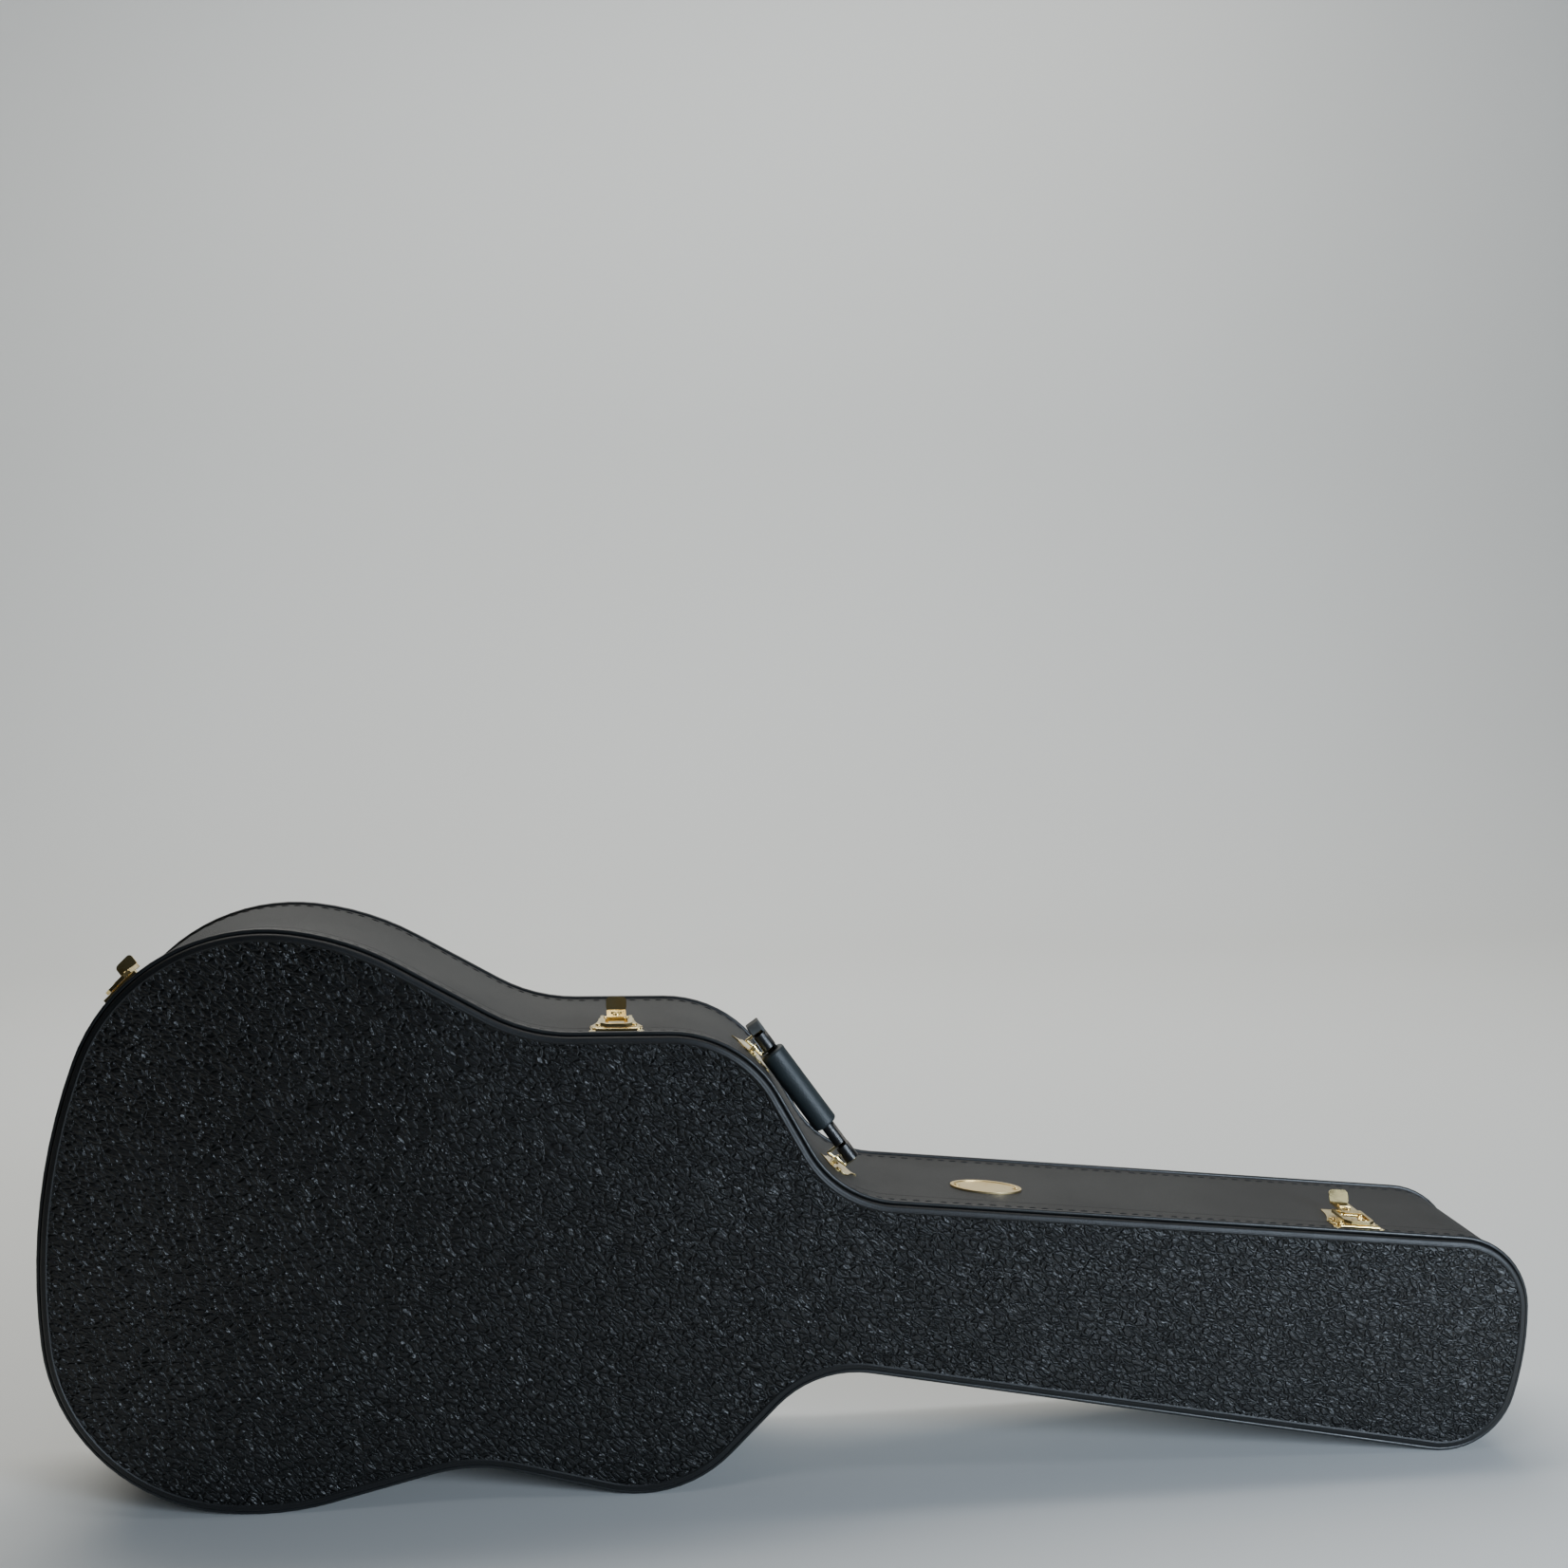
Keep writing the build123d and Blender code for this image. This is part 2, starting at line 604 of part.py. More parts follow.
def handle_rivets():
    heads = []
    for which in ring_runs:
        (x, y), outward = plate_foot(which)
        for side in (-1, 1):
            frame = side_frame((x, y), outward, handle_z + side * handle_plate_w * 0.33)
            heads.append(frame * rivet(0, 0, plate_t + rivet_seat))
    return together(heads)


# ---------------------------------------------------------------- nameplate
def badge_frame():
    return side_frame(*edge_at(badge_station, skin_out), badge_z)


def nameplate():
    """Blank oval plate with a raised rim."""
    plate = extrude(Ellipse(badge_l / 2, badge_w / 2), amount=badge_t)
    field = Pos(0, 0, badge_t - 0.5) * extrude(Ellipse(badge_l / 2 - 2.2, badge_w / 2 - 2.2), amount=2)
    for side in (-1, 1):
        field -= Pos(side * (badge_l / 2 - 4.2), 0, 0) * Cylinder(3.0, 20)
    return badge_frame() * (plate - field)


def nameplate_rivets():
    spots = [side * (badge_l / 2 - 4.2) for side in (-1, 1)]
    return together([badge_frame() * rivet(x, 0, badge_t, 1.4) for x in spots])


# ---------------------------------------------------------------- padding
pad_floor = face_t + pad_gap
pad_top = pad_floor + floor_pad_t
pocket_x0 = cradle_station + cradle_t
pocket_x1 = pocket_x0 + pocket_length
pocket_hinge_y = -(neck_half - pocket_edge)


def inside(low, high, x0, x1, y0=-far, y1=far, clear=pad_gap):
    """The part of the space between the body's walls inside a box."""
    return slab(-wall_in - clear, low, high) & block(x0, x1, y0, y1, low, high)


def floor_pad():
    return slab(-wall_in - pad_gap, pad_floor, pad_top)


def bolster():
    """Foam that lines the wall around the guitar's body."""
    low, high = pad_top + pad_gap, seam_z - lip_down - pad_gap
    lining = ring(-wall_in - pad_gap, -wall_in - pad_gap - bolster_t, low, high)
    return lining & block(-far, bolster_end, -far, far, 0, far)


def neck_cradle():
    """Padded block across the neck channel with a round hollow for the neck."""
    low = pad_top + pad_gap
    pad = inside(low, cradle_top, cradle_station, cradle_station + cradle_t)
    hollow = Pos(cradle_station, 0, cradle_top + 6) * Rot(0, 90, 0) * Cylinder(neck_channel / 2, 4 * cradle_t)
    return pad - hollow


def pocket_partition():
    low = pad_top + pad_gap
    return inside(low, pocket_top, pocket_x1 + pad_gap, pocket_x1 + pad_gap + partition_t)


def pocket_ledge():
    """Fixed strip beside the pocket's lid, along the hinge side."""
    low = pad_top + pad_gap
    return inside(low, pocket_top, pocket_x0 + pad_gap, pocket_x1, -far, pocket_hinge_y)


def pocket_lid():
    """Padded board over the accessory pocket, flush with the partition."""
    return inside(
        pocket_top - pocket_lid_t, pocket_top, pocket_x0 + 2 * pad_gap, pocket_x1 - pad_gap,
        pocket_hinge_y + pad_gap, far, 2.0,
    )


def pull_tab():
    """Ribbon loop laid flat on the pocket's lid."""
    middle = (pocket_x0 + pocket_x1) / 2
    x0, x1 = middle - tab_width / 2, middle + tab_width / 2
    flat = block(x0, x1, tab_edge - tab_length, tab_edge, pocket_top, pocket_top + tab_t)
    return fillet(flat.edges().filter_by(Axis.Z), 4.0)


def headstock_pad():
    x0 = pocket_x1 + partition_t + head_pad_gap
    return inside(pad_top + pad_gap, head_pad_top, x0, case_length)


def lid_pad():
    top = case_depth - face_t - pad_gap
    return slab(-wall_in - lip_t - 2.0, top - lid_pad_t, top)


# ---------------------------------------------------------------- all pieces
pieces = {
    "lid_face_cover": face_cover(),
    "lid_panel": face_panel(),
    "lid_piping": piping(),
    "lid_wall_latch_side": latch_side(lid_band(skin_out - skin_t, -wall_in)),
    "lid_wall_hinge_side": hinge_side(lid_band(skin_out - skin_t, -wall_in)),
    "lid_side_cover": lid_band(skin_out, skin_out - skin_t),
    "lid_pad": lid_pad(),
    "back_cover": to_back(face_cover()),
    "back_panel": to_back(face_panel()),
    "back_piping": to_back(piping()),
    "body_wall_latch_side": latch_side(body_band(skin_out - skin_t, -wall_in)),
    "body_wall_hinge_side": hinge_side(body_band(skin_out - skin_t, -wall_in)),
    "body_side_cover": body_band(skin_out, skin_out - skin_t),
    "alignment_lip": alignment_lip(),
    "floor_pad": floor_pad(),
    "bolster_latch_side": latch_side(bolster()),
    "bolster_hinge_side": hinge_side(bolster()),
    "neck_cradle": neck_cradle(),
    "pocket_partition": pocket_partition(),
    "pocket_ledge": pocket_ledge(),
    "pocket_lid": pocket_lid(),
    "pocket_pull_tab": pull_tab(),
    "headstock_pad": headstock_pad(),
    "hinge_rivets_body": hinge_rivets(False),
    "hinge_rivets_lid": hinge_rivets(True),
    "latch_rivets_body": latch_rivets(False),
    "latch_rivets_lid": latch_rivets(True),
    "handle_core": handle_core(),
    "handle_grip": handle_grip(),
    "handle_rivets": handle_rivets(),
    "nameplate": nameplate(),
    "nameplate_rivets": nameplate_rivets(),
}
for which in hinge_widths:
    pieces["hinge_body_leaf_" + which] = hinge_leaf(which, False)
    pieces["hinge_lid_leaf_" + which] = hinge_leaf(which, True)
    pieces["hinge_pin_" + which] = hinge_pin(which)
for which in latch_stations:
    pieces["latch_base_" + which] = latch_base(which)
    pieces["latch_pivot_" + which] = latch_pivot(which)
    pieces["latch_lever_" + which] = latch_lever(which)
    pieces["latch_loop_" + which] = latch_loop(which)
    pieces["latch_keeper_" + which] = latch_keeper(which)
for which in ring_runs:
    pieces["handle_ring_" + which] = handle_ring(which)
    pieces["handle_plate_" + which] = handle_plate(which)

# ---------------------------------------------------------------- standing up
upright = Rot(0, degrees(tilt), 0) * Rot(90, 0, 0)
edge = (upright * pieces["lid_piping"]).bounding_box()
stand = Pos(-(edge.min.X + edge.max.X) / 2, case_depth / 2, -edge.min.Z) * upright

os.makedirs("parts", exist_ok=True)
for name, piece in pieces.items():
    export_step(stand * piece, f"parts/{name}.step")
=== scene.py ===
"""Looks of a hard-shell guitar case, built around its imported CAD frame.

The case stands on its hinge edge with the lid facing -Y. Its outline is worked out here again
from the same driving values as the shell, on a flat bench where x runs from the butt to the
headstock end, y is across (positive on the latch side) and z is the height from the back.
"""
import json
import math
import bmesh
import bpy
import numpy as np
from mathutils import Matrix, Vector


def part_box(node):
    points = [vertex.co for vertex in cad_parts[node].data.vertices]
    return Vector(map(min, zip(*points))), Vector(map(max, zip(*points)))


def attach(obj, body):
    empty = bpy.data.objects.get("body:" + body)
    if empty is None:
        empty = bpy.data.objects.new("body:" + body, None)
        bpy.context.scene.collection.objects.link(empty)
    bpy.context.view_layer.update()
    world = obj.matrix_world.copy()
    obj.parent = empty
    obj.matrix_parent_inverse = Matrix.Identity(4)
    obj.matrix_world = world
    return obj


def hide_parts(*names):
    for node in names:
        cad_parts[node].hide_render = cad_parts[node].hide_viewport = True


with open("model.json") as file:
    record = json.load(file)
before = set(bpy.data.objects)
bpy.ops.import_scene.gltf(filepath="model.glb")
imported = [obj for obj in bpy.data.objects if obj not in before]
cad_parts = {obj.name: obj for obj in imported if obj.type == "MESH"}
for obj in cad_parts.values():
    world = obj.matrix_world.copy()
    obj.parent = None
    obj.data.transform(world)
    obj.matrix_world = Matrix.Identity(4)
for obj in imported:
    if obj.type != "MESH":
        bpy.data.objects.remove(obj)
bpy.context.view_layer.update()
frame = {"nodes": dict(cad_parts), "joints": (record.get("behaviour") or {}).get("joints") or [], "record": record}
nodes = frame["nodes"]
joints = {j["name"]: j for j in frame["joints"]}
MM = 0.001

# ---------------------------------------------------------------- driving values, in mm
CASE_LENGTH, CASE_DEPTH = 1090.0, 143.0
LOWER_HALF, LOWER_STATION, BUTT_CORNER_R, LOWER_FLANK_R = 209.0, 146.0, 138.0, 205.0
WAIST_HALF, WAIST_STATION, WAIST_R = 158.5, 336.0, 127.0
UPPER_STATION, UPPER_R = 430.0, 90.0
NECK_HALF, NECK_STATION, NECK_R = 62.0, 595.0, 80.0
HEAD_HALF, HEAD_STATION, HEAD_R = 80.0, 1034.0, 54.0
PANEL_FACE, VINYL_T, BEAD_R = 5.2, 1.2, 1.6
WALL_IN, SEAM_Z, SIDE_OUT = 4.8, 118.2, 1.2


# ---------------------------------------------------------------- outline
def crossing(a, r_a, b, r_b, side):
    """Angle of the normal of the straight line that crosses between two circles."""
    dx, dy = b[0] - a[0], b[1] - a[1]
    return math.atan2(dy, dx) + side * math.acos((r_a + r_b) / math.hypot(dx, dy))


LOWER = (LOWER_STATION, LOWER_HALF - LOWER_FLANK_R)
HEAD = (HEAD_STATION, HEAD_HALF - HEAD_R)
REACH = math.hypot(HEAD[0] - LOWER[0], HEAD[1] - LOWER[1])
TILT = (math.pi / 2 - math.atan2(HEAD[1] - LOWER[1], HEAD[0] - LOWER[0])
        - math.acos((LOWER_FLANK_R - HEAD_R) / REACH))


def outline_arcs():
    """Arcs of one half, butt to headstock end, as (centre, radius, sign, first and last angle)."""
    line = LOWER[0] * math.sin(TILT) + LOWER[1] * math.cos(TILT) + LOWER_FLANK_R
    upper = (UPPER_STATION, (line - UPPER_R - UPPER_STATION * math.sin(TILT)) / math.cos(TILT))
    corner = (LOWER_STATION, LOWER_HALF - BUTT_CORNER_R)
    butt_r = (corner[0]**2 + corner[1]**2 - BUTT_CORNER_R**2) / (2 * (corner[0] - BUTT_CORNER_R))
    run = CASE_LENGTH - HEAD_STATION
    end_r = (run**2 + HEAD[1]**2 - HEAD_R**2) / (2 * (run - HEAD_R))
    waist, neck = (WAIST_STATION, WAIST_HALF + WAIST_R), (NECK_STATION, NECK_HALF + NECK_R)
    end = (CASE_LENGTH - end_r, 0.0)
    butt_join = math.atan2(corner[1], corner[0] - butt_r)
    flank = crossing(LOWER, LOWER_FLANK_R, waist, WAIST_R, 1)
    rise = crossing(waist, WAIST_R, upper, UPPER_R, -1)
    shoulder = crossing(upper, UPPER_R, neck, NECK_R, 1)
    side = crossing(neck, NECK_R, HEAD, HEAD_R, -1)
    end_join = math.atan2(HEAD[1], HEAD[0] - end[0])
    return [
        ((butt_r, 0.0), butt_r, 1, math.pi, butt_join),
        (corner, BUTT_CORNER_R, 1, butt_join, math.pi / 2),
        (LOWER, LOWER_FLANK_R, 1, math.pi / 2, flank),
        (waist, WAIST_R, -1, flank - math.pi, rise),
        (upper, UPPER_R, 1, rise + math.pi, shoulder),
        (neck, NECK_R, -1, shoulder - math.pi, side),
        (HEAD, HEAD_R, 1, side + math.pi, end_join),
        (end, end_r, 1, end_join, 0.0),
    ]


def closed_outline(count):
    """Evenly spaced points and outward normals: dense samples of every arc, put end to end
    with the mirrored half and read again at equal steps of their running length."""
    points, normals = [], []
    for centre, r, sign, start, end in outline_arcs():
        angle = np.linspace(start, end, 400)
        unit = np.column_stack((np.cos(angle), np.sin(angle)))
        points.append(np.array(centre) + r * unit)
        normals.append(sign * unit)
    points, normals = np.vstack(points), np.vstack(normals)
    mirror = np.array([1.0, -1.0])
    points = np.vstack((points, points[::-1] * mirror))
    normals = np.vstack((normals, normals[::-1] * mirror))
    run = np.concatenate(([0.0], np.cumsum(np.hypot(*np.diff(points, axis=0).T))))
    run += np.arange(len(run)) * 1e-9
    at = np.linspace(0.0, run[-1], count, endpoint=False)
    spot = np.column_stack([np.interp(at, run, points[:, k]) for k in (0, 1)])
    out = np.column_stack([np.interp(at, run, normals[:, k]) for k in (0, 1)])
    return spot, out / np.linalg.norm(out, axis=1)[:, None], run[-1]


def turned(x, y):
    """Bench x and y turned by the tilt of the hinge line."""
    return x * math.cos(TILT) + y * math.sin(TILT), -x * math.sin(TILT) + y * math.cos(TILT)


EDGE, OUT, PERIMETER = closed_outline(1440)
_TX, _TZ = turned(*(EDGE + 2 * BEAD_R * OUT).T)
SHIFT_X, SHIFT_Z = -(_TX.min() + _TX.max()) / 2, -_TZ.min()


def stand(x, y, z):
    """Bench millimetres to the standing case in metres: turn by the tilt, then tip upright."""
    u, w = turned(np.asarray(x, float), np.asarray(y, float))
    z = np.broadcast_to(z, u.shape)
    return np.stack((u + SHIFT_X, CASE_DEPTH / 2 - z, w + SHIFT_Z), -1) * MM


# ---------------------------------------------------------------- mesh helpers
def make_piece(name, verts, faces, body, material, smooth=True):
    """A mesh object at the origin from arrays of points and faces, riding on a body."""
    mesh = bpy.data.meshes.new(name)
    mesh.from_pydata(np.asarray(verts).tolist(), [], [list(f) for f in faces])
    mesh.polygons.foreach_set("use_smooth", [smooth] * len(mesh.polygons))
    mesh.update()
    piece = bpy.data.objects.new(name, mesh)
    bpy.context.scene.collection.objects.link(piece)
    piece.data.materials.append(material)
    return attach(piece, body) if body else piece


def grid_faces(rows, columns, wrap_rows=False, wrap_columns=False, flip=False):
    """Quads that join neighbouring points of a grid stored row by row."""
    r = np.arange(rows if wrap_rows else rows - 1)
    c = np.arange(columns if wrap_columns else columns - 1)
    i, j = np.meshgrid(r, c, indexing="ij")
    i2, j2 = (i + 1) % rows, (j + 1) % columns
    quads = np.stack((i * columns + j, i * columns + j2, i2 * columns + j2, i2 * columns + j), -1)
    quads = quads.reshape(-1, 4)
    return quads[:, ::-1] if flip else quads


def mend_normals(piece):
    """Point every face outwards on a closed mesh."""
    shape = bmesh.new()
    shape.from_mesh(piece.data)
    bmesh.ops.remove_doubles(shape, verts=shape.verts, dist=1e-6)
    bmesh.ops.recalc_face_normals(shape, faces=shape.faces)
    shape.to_mesh(piece.data)
    shape.free()
    return piece


def soften(piece, degrees=32.0):
    """Smooth shading with creases kept sharp."""
    mesh = piece.data
    mesh.polygons.foreach_set("use_smooth", [True] * len(mesh.polygons))
    mesh.set_sharp_from_angle(angle=math.radians(degrees))
    return piece


def around(profile, front=True):
    """The outline swept ring by ring with a profile of (distance inwards, height over the face)."""
    rings = []
    for inwards, height in profile:
        spot = EDGE - inwards * OUT
        z = CASE_DEPTH + height if front else -height
        rings.append(stand(spot[:, 0], spot[:, 1], z))
    return rings


# ---------------------------------------------------------------- materials
def linear(code):
    """sRGB hex to linear colour."""
    channels = [int(code[i:i + 2], 16) / 255 for i in (1, 3, 5)]
    curve = [c / 12.92 if c <= 0.04045 else ((c + 0.055) / 1.055)**2.4 for c in channels]
    return tuple(curve) + (1.0,)


def add(tree, kind, inputs=None, **settings):
    """Adds a node with its settings; a socket given as a value is linked."""
    node = tree.nodes.new(kind)
    for key, value in settings.items():
        setattr(node, key, value)
    for key, value in (inputs or {}).items():
        if isinstance(value, bpy.types.NodeSocket):
            tree.links.new(value, node.inputs[key])
        else:
            node.inputs[key].default_value = value
    return node


def start_material(name, **values):
    material = bpy.data.materials.new(name)
    material.use_nodes = True
    tree = material.node_tree
    shader = tree.nodes["Principled BSDF"]
    for key, value in values.items():
        shader.inputs[key.replace("_", " ")].default_value = value
    return material, tree, shader


def mixed(tree, factor, first, second):
    """Colour between two hex colours."""
    node = add(tree, "ShaderNodeMix", data_type="RGBA")
    tree.links.new(factor, node.inputs[0])
    node.inputs[6].default_value = linear(first)
    node.inputs[7].default_value = linear(second)
    return node.outputs[2]


def grained_vinyl(name, deep, high, cell, longer, depth, rough, worn=None, lean_deg=48):
    """Calendered vinyl embossed with a leather grain: plump pebbles of a few millimetres parted by narrow creases,
    each `longer` times as long down the lean as across it, over a fine pore. The colour runs from `deep` in the
    creases to `high` on the pebble tops: painted shade in the creases."""
    material, tree, shader = start_material(name, IOR=1.52)
    place = add(tree, "ShaderNodeTexCoord").outputs["Object"]
    rotation = (0, math.radians(lean_deg), 0)
    lean = add(tree, "ShaderNodeMapping",
               {"Vector": place, "Rotation": rotation, "Scale": (longer, 1.0, 1.0)},
               vector_type="TEXTURE").outputs[0]
    drift = add(tree, "ShaderNodeTexNoise", {"Vector": lean, "Scale": 0.45 / cell, "Detail": 3.0})
    shove = add(tree, "ShaderNodeVectorMath", {0: drift.outputs["Color"], "Scale": 1.5 * cell},
                operation="SCALE")
    bent = add(tree, "ShaderNodeVectorMath", {0: lean, 1: shove.outputs[0]}, operation="ADD")
    pebble = add(tree, "ShaderNodeTexVoronoi", {"Vector": bent.outputs[0], "Scale": 1 / cell},
                 feature="DISTANCE_TO_EDGE")
    dome = add(tree, "ShaderNodeMapRange", {"Value": pebble.outputs["Distance"], "From Max": 0.24},
               interpolation_type="SMOOTHERSTEP")
    swell = add(tree, "ShaderNodeTexNoise", {"Vector": lean, "Scale": 0.4 / cell, "Detail": 2.0})
    pore = add(tree, "ShaderNodeTexNoise", {"Vector": place, "Scale": 3.2 / cell, "Detail": 4.0})
    body = add(tree, "ShaderNodeMath", {0: swell.outputs[0], 1: 0.9, 2: dome.outputs[0]},
               operation="MULTIPLY_ADD")
    height = add(tree, "ShaderNodeMath", {0: pore.outputs[0], 1: 0.35, 2: body.outputs[0]},
                 operation="MULTIPLY_ADD")
    bump = add(tree, "ShaderNodeBump", {"Height": height.outputs[0], "Distance": depth,
                                        "Strength": 1.0})
    tree.links.new(bump.outputs[0], shader.inputs["Normal"])
    # painted shade: the creases are coloured darker than the pebble tops
    colour = mixed(tree, dome.outputs[0], deep, high)
    patch = add(tree, "ShaderNodeTexNoise", {"Vector": place, "Scale": 9.0, "Detail": 5.0})
    sheen = add(tree, "ShaderNodeMapRange", {"Value": patch.outputs[0], "From Min": 0.3,
                                             "From Max": 0.7, "To Min": rough - 0.05,
                                             "To Max": rough + 0.06})
    tree.links.new(sheen.outputs[0], shader.inputs["Roughness"])
    if worn:
        fleck = add(tree, "ShaderNodeTexVoronoi", {"Vector": place, "Scale": 24.0})
        dot = add(tree, "ShaderNodeMapRange", {"Value": fleck.outputs["Distance"],
                                               "From Min": 0.035, "From Max": 0.02})
        pick = add(tree, "ShaderNodeTexWhiteNoise", {"Vector": fleck.outputs["Position"]})
        few = add(tree, "ShaderNodeMath", {0: pick.outputs["Value"], 1: 0.93},
                  operation="GREATER_THAN")
        mark = add(tree, "ShaderNodeMath", {0: dot.outputs[0], 1: few.outputs[0]},
                   operation="MULTIPLY")
        blend = add(tree, "ShaderNodeMix", data_type="RGBA")
        tree.links.new(mark.outputs[0], blend.inputs[0])
        tree.links.new(colour, blend.inputs[6])
        blend.inputs[7].default_value = linear(worn)
        colour = blend.outputs[2]
    tree.links.new(colour, shader.inputs["Base Color"])
    return material


def plated(name, bright, dull, rough, scale=0.012):
    """Electroplated steel, polished: a mirror that fine handling marks and old lacquer break up."""
    material, tree, shader = start_material(name, Metallic=1.0)
    place = add(tree, "ShaderNodeTexCoord").outputs["Object"]
    cloud = add(tree, "ShaderNodeTexNoise", {"Vector": place, "Scale": 1 / scale, "Detail": 6.0})
    haze = add(tree, "ShaderNodeMapRange", {"Value": cloud.outputs[0], "From Min": 0.42,
                                            "From Max": 0.72})
    tree.links.new(mixed(tree, haze.outputs[0], bright, dull), shader.inputs["Base Color"])
    gloss = add(tree, "ShaderNodeMapRange", {"Value": cloud.outputs[0], "To Min": rough * 0.6,
                                             "To Max": rough * 1.7})
    tree.links.new(gloss.outputs[0], shader.inputs["Roughness"])
    ripple = add(tree, "ShaderNodeTexNoise", {"Vector": place, "Scale": 420.0, "Detail": 2.0})
    bump = add(tree, "ShaderNodeBump", {"Height": ripple.outputs[0], "Distance": 0.00006,
                                        "Strength": 0.6})
    tree.links.new(bump.outputs[0], shader.inputs["Normal"])
    return material


def short_pile(name, deep, tip):
    """Crushed plush: a short pile that lies in patches, drawn a little coarser than its fibres."""
    material, tree, shader = start_material(name, Roughness=0.92, Sheen_Weight=0.6,
                                            Sheen_Roughness=0.45)
    place = add(tree, "ShaderNodeTexCoord").outputs["Object"]
    fibre = add(tree, "ShaderNodeTexNoise", {"Vector": place, "Scale": 900.0, "Detail": 3.0})
    nap = add(tree, "ShaderNodeTexNoise", {"Vector": place, "Scale": 38.0, "Detail": 4.0,
                                           "Distortion": 0.8})
    both = add(tree, "ShaderNodeMath", {0: fibre.outputs[0], 1: 0.45, 2: nap.outputs[0]},
               operation="MULTIPLY_ADD")
    shade = add(tree, "ShaderNodeMapRange", {"Value": both.outputs[0], "From Min": 0.5,
                                             "From Max": 0.95})
    tree.links.new(mixed(tree, shade.outputs[0], deep, tip), shader.inputs["Base Color"])
    bump = add(tree, "ShaderNodeBump", {"Height": both.outputs[0], "Distance": 0.0007,
                                        "Strength": 0.8})
    tree.links.new(bump.outputs[0], shader.inputs["Normal"])
    return material


def moulded(name, colour, lift, rough, grain):
    """Moulded vinyl or rubber with the fine matte grain of its tool."""
    material, tree, shader = start_material(name, IOR=1.5)
    place = add(tree, "ShaderNodeTexCoord").outputs["Object"]
    speck = add(tree, "ShaderNodeTexVoronoi", {"Vector": place, "Scale": 1 / grain})
    cloud = add(tree, "ShaderNodeTexNoise", {"Vector": place, "Scale": 60.0, "Detail": 5.0})
    tree.links.new(mixed(tree, cloud.outputs[0], colour, lift), shader.inputs["Base Color"])
    gloss = add(tree, "ShaderNodeMapRange", {"Value": cloud.outputs[0], "To Min": rough - 0.06,
                                             "To Max": rough + 0.1})
    tree.links.new(gloss.outputs[0], shader.inputs["Roughness"])
    bump = add(tree, "ShaderNodeBump", {"Height": speck.outputs["Distance"],
                                        "Distance": grain * 0.12, "Strength": 0.7})
    tree.links.new(bump.outputs[0], shader.inputs["Normal"])
    return material


def bent_ply(name):
    """Birch plywood seen at its raw edges: pale, in long fine streaks."""
    material, tree, shader = start_material(name, Roughness=0.7)
    place = add(tree, "ShaderNodeTexCoord").outputs["Object"]
    along = add(tree, "ShaderNodeMapping", {"Vector": place, "Scale": (1.0, 14.0, 1.0)}).outputs[0]
    streak = add(tree, "ShaderNodeTexNoise", {"Vector": along, "Scale": 45.0, "Detail": 5.0})
    colour = mixed(tree, streak.outputs[0], "#8a6a45", "#c9a77a")
    tree.links.new(colour, shader.inputs["Base Color"])
    bump = add(tree, "ShaderNodeBump", {"Height": streak.outputs[0], "Distance": 0.0002,
                                        "Strength": 0.5})
    tree.links.new(bump.outputs[0], shader.inputs["Normal"])
    return material


# each grained vinyl: the first colour is the painted shade of its creases, the second its pebble tops
FACE_VINYL = grained_vinyl("face_leather_grain_vinyl", "#020303", "#050606", 0.0038, 2.0, 0.0014,
                           0.31, worn="#8d8f8c", lean_deg=34)
SIDE_VINYL = grained_vinyl("side_fine_grain_vinyl", "#0c0d0e", "#161718", 0.0011, 1.1, 0.00013,
                           0.62)
SHOULDER_VINYL = moulded("edge_binding_vinyl", "#050606", "#0b0c0d", 0.48, 0.0012)
PIPING = moulded("extruded_piping_vinyl", "#141617", "#1d1f20", 0.34, 0.0009)
LATCH_BRASS = plated("latch_brass_plate", "#ecd69a", "#c4a765", 0.19)
HINGE_BRASS = plated("hinge_brass_plate", "#e0c983", "#ac9150", 0.26)
RING_WIRE = plated("pale_gold_wire", "#e8dcae", "#bda974", 0.14)
BADGE_BRASS = plated("nameplate_brass", "#e2cb97", "#c9ad74", 0.30, 0.03)
PLUSH = short_pile("short_pile_plush", "#0d0d10", "#2b2b33")
LIP_CLOTH = short_pile("lip_plush", "#0b0b0d", "#202026")
GRIP = moulded("grip_vinyl", "#1b2224", "#262e30", 0.50, 0.0012)
STRAP = moulded("strap_leatherette", "#070708", "#101112", 0.32, 0.0011)
STRAP_END = moulded("sheared_strap_fibre", "#3c3d3c", "#565755", 0.75, 0.0008)
RIBBON = short_pile("woven_ribbon", "#050506", "#161619")
THREAD = moulded("waxed_thread", "#050505", "#0b0b0b", 0.6, 0.0006)
PLY = bent_ply("bent_birch_ply")
# a dark colour painted as the shadow inside the locks' key slots
SLOT_SHADOW_PAINT = moulded("shadowed_slot", "#060504", "#0c0a08", 0.7, 0.0006)

BY_SLOT = {"face_vinyl": FACE_VINYL, "side_vinyl": SIDE_VINYL, "piping": PIPING, "plywood": PLY,
           "lip_cloth": LIP_CLOTH, "plush": PLUSH, "ribbon": RIBBON, "strap": STRAP, "grip": GRIP,
           "ring_wire": RING_WIRE, "hinge_brass": HINGE_BRASS, "badge_brass": BADGE_BRASS,
           "latch_brass": LATCH_BRASS}
SLOT_OF = {s["node"]: s["material_slot"] for s in frame["record"]["subparts"]}
for node, cad in nodes.items():
    cad.data.materials.clear()
    cad.data.materials.append(BY_SLOT[SLOT_OF[node]])


